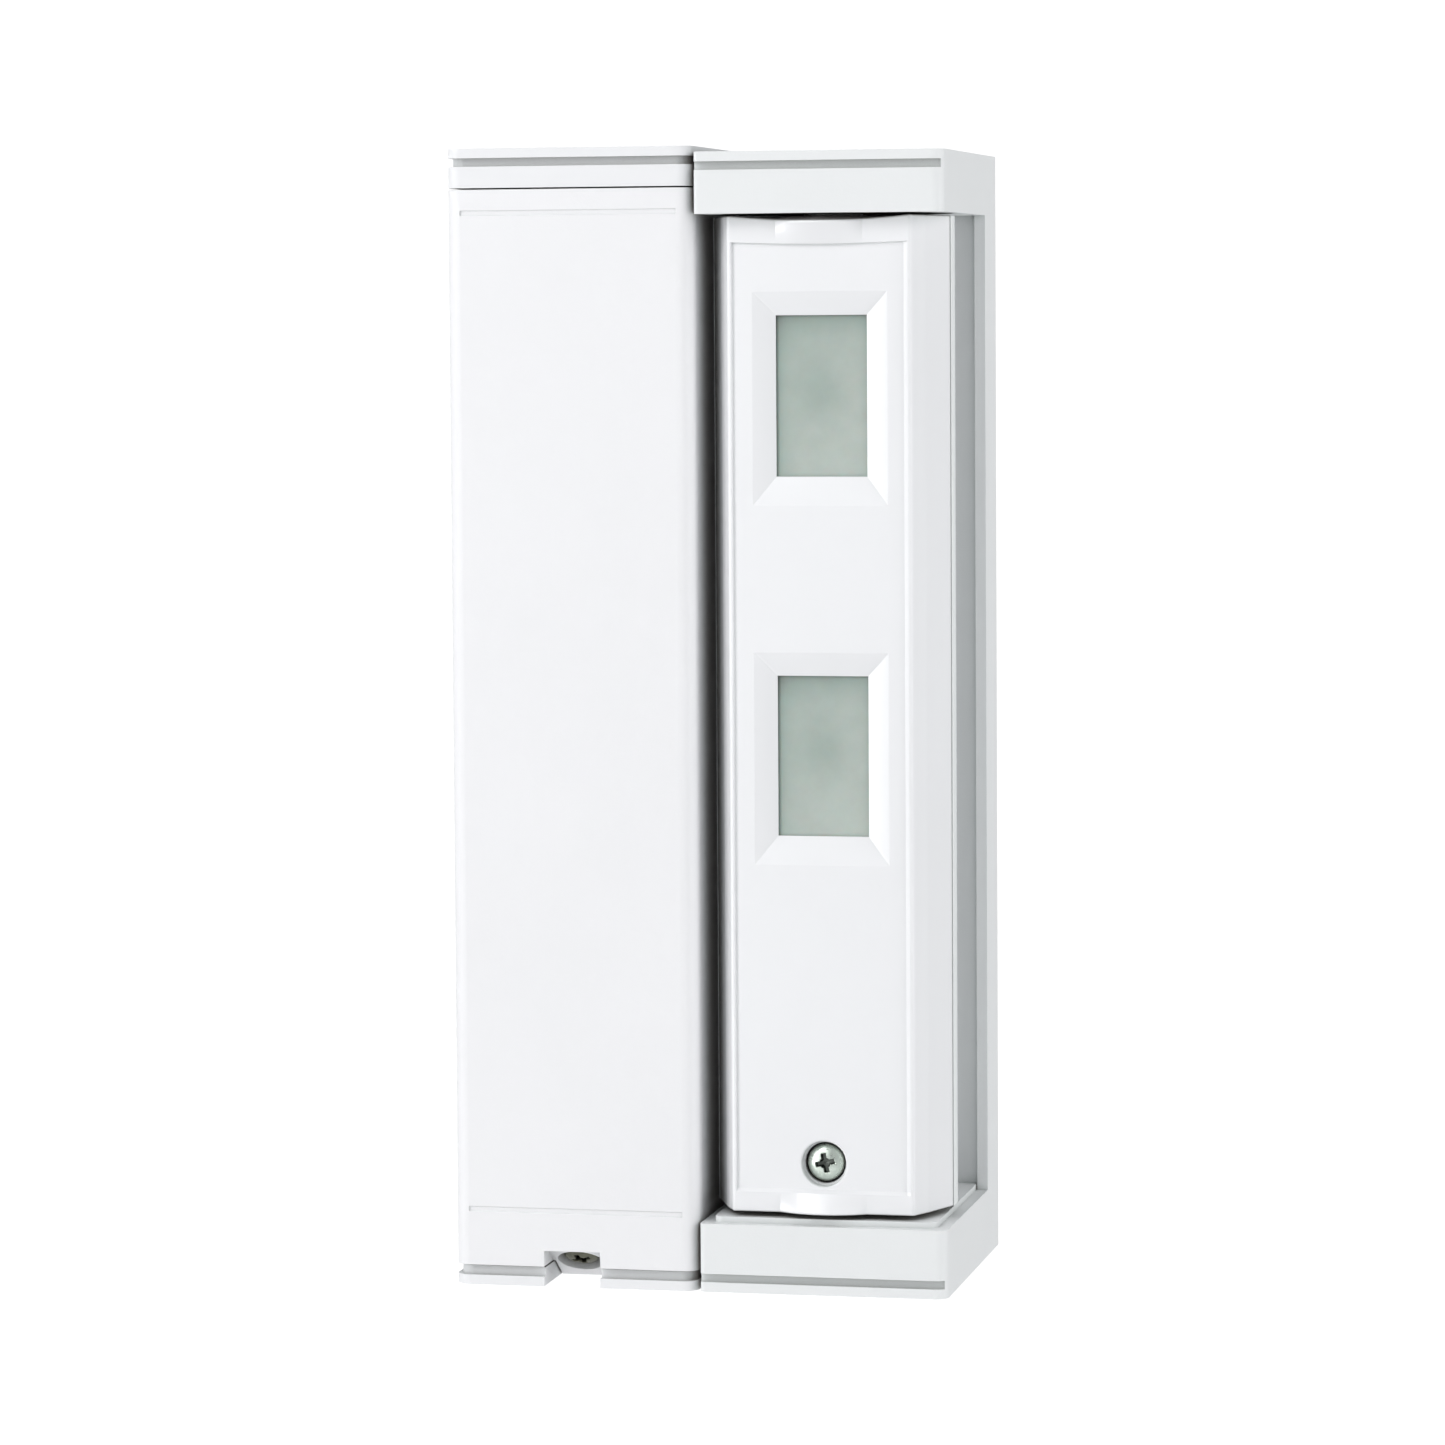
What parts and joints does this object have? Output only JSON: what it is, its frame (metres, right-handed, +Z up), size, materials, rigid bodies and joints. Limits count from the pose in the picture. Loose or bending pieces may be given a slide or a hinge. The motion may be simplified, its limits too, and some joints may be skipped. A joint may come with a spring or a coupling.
{
  "type": "outdoor curtain motion detector",
  "caption": "Wall-mounted white battery motion detector: a tall battery and radio box beside a bracket that holds a swivelling sensor head with bevelled lens windows.",
  "frame": {"origin": "on the rear face of the wall plate, midway across the unit and halfway up the battery box", "axes": "+Z up, +Y out of the back towards the wall, +X to the right as seen from the front; the front faces -Y"},
  "size_m": [0.0828, 0.054, 0.188],
  "materials": {
    "white_shell": "fine moulded texture, white",
    "bracket_shell": "fine moulded texture, white",
    "plate": "moulded, light grey",
    "head_front": "glossy border, fine matte panel",
    "head_rear": "satin moulded white",
    "lens": "milky translucent sheet",
    "zinc_screw": "greenish zinc plate",
    "seal": "soft rubber",
    "lead": "flexible sheath",
    "black_plastic": "moulded black",
    "cell": "shrink sleeve, plain blue",
    "nickel": "nickel plate",
    "board": "solder mask over glass laminate",
    "green_plastic": "moulded green",
    "copper": "bare copper wire",
    "acetal": "natural acetal",
    "red_plastic": "moulded red"
  },
  "bodies": {
    "base": {"back_plate": "plate", "box_base": "white_shell", "swivel_bracket": "bracket_shell", "ledge_cap": "bracket_shell", "box_fixing_screws": "zinc_screw", "bracket_fixing_screws": "zinc_screw", "cable_grommet": "seal", "cover_gasket": "seal", "battery_holder": "black_plastic", "upper_battery": "cell", "lower_battery": "cell", "battery_springs": "nickel", "battery_contacts": "nickel", "transmitter_board": "board", "radio_shield": "nickel", "antenna_wire": "copper", "terminal_block": "green_plastic", "terminal_screws": "zinc_screw", "transmitter_board_screws": "zinc_screw", "tamper_switch": "black_plastic", "tamper_spring": "nickel", "upper_bush": "acetal", "lower_bush": "acetal", "detent_spring": "nickel", "box_lead": "lead"},
    "tamper_plunger": {"tamper_plunger": "red_plastic"},
    "battery_cover": {"battery_cover": "white_shell", "cover_screw": "zinc_screw", "cover_screw_washer": "seal"},
    "head": {"head_rear_shell": "head_rear", "click_wheel": "acetal", "sensor_board": "board", "sensor_board_screws": "zinc_screw", "upper_heat_sensor": "nickel", "lower_heat_sensor": "nickel", "upper_baffle": "black_plastic", "lower_baffle": "black_plastic", "alarm_lamp": "red_plastic", "lead_plug": "acetal", "head_lead": "lead", "range_switch": "black_plastic", "head_gasket": "seal"},
    "switch_knob": {"range_switch_knob": "acetal"},
    "head_cover": {"head_front_cover": "head_front", "upper_lens": "lens", "lower_lens": "lens", "upper_lens_retainer": "black_plastic", "lower_lens_retainer": "black_plastic", "head_cover_screw": "zinc_screw", "head_screw_seal": "seal"}
  },
  "joints": [
    {"name": "head_swivel", "type": "hinge", "parent": "base", "child": "head", "pos_m": [0.0204, -0.0379, 0], "axis": [0, 0, 1], "range_deg": [-95, 95]},
    {"name": "head_cover_lift", "type": "slide", "parent": "head", "child": "head_cover", "axis": [0, -1, 0], "range_m": [0, 0.04]},
    {"name": "battery_cover_lift", "type": "slide", "parent": "base", "child": "battery_cover", "axis": [0, -1, 0], "range_m": [0, 0.06]},
    {"name": "tamper_press", "type": "slide", "parent": "base", "child": "tamper_plunger", "axis": [0, 1, 0], "range_m": [0, 0.0015], "stiffness_N_per_m": 400, "deforming": ["tamper_spring"]},
    {"name": "range_switch_slide", "type": "slide", "parent": "head", "child": "switch_knob", "axis": [1, 0, 0], "range_m": [-0.002, 0.002]}
  ]
}
